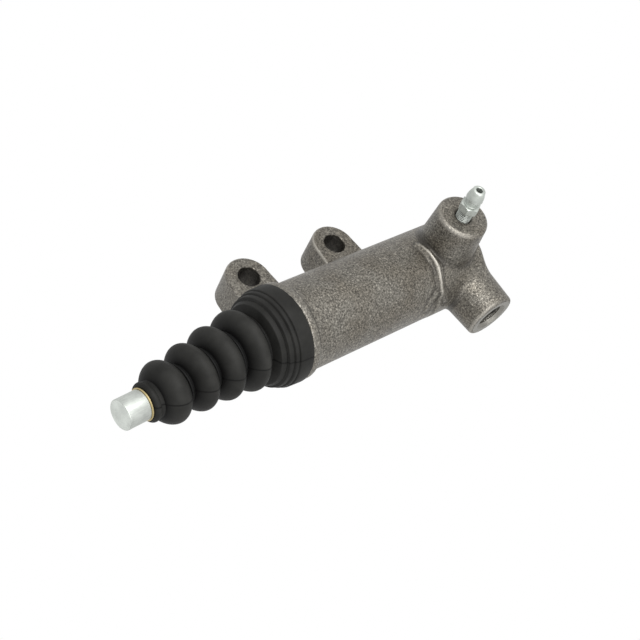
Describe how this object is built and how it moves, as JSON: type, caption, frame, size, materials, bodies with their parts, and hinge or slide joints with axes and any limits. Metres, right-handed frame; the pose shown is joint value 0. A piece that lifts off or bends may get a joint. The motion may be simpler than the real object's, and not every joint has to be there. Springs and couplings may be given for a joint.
{
  "type": "clutch slave cylinder",
  "caption": "Hydraulic clutch release cylinder: cast iron body with bolt ears, inlet port and bleed screw, sliding piston, push rod and ribbed rubber boot.",
  "frame": {"origin": "centre of the two bolt holes on the mounting face, the underside of the ears", "axes": "+X along the barrel to its closed end, +Y away from the barrel, +Z out of the mounting face along the bolt holes"},
  "size_m": [0.1719, 0.0676, 0.068],
  "materials": {
    "iron_casting": "sand-cast skin, grey-brown phosphate, satin grain",
    "zinc_steel": "bright zinc plated, turned",
    "boot_rubber": "moulded black rubber, satin",
    "plated_rod": "zinc plated, turned, slightly frosted",
    "turned_steel": "turned",
    "cup_rubber": "moulded black rubber",
    "spring_steel": "drawn wire"
  },
  "bodies": {
    "cylinder": {"cylinder_body": "iron_casting", "boot": "boot_rubber", "return_spring": "spring_steel", "stop_washer": "turned_steel", "snap_ring": "spring_steel"},
    "piston_set": {"piston": "turned_steel", "primary_cup": "cup_rubber", "secondary_cup": "cup_rubber", "cup_spreader": "turned_steel"},
    "rod": {"push_rod": "plated_rod"},
    "bleeder": {"bleed_screw": "zinc_steel"}
  },
  "joints": [
    {"name": "piston_slide", "type": "slide", "parent": "cylinder", "child": "piston_set", "axis": [1, 0, 0], "range_m": [0, 0.02], "stiffness_N_per_m": 150, "springref_m": -0.02, "deforming": ["boot", "return_spring"]},
    {"name": "rod_tilt", "type": "hinge", "parent": "piston_set", "child": "rod", "pos_m": [-0.0173, -0.0287, 0.0205], "axis": [0, 0, 1], "range_deg": [-6.7, 1.3], "stiffness_Nm_per_rad": 0.05, "deforming": ["boot"]},
    {"name": "bleed_turn", "type": "hinge", "parent": "cylinder", "child": "bleeder", "pos_m": [0.0489, -0.0287, 0.0205], "axis": [-0.0523, 0, 0.9986], "range_deg": [0, 360]}
  ]
}
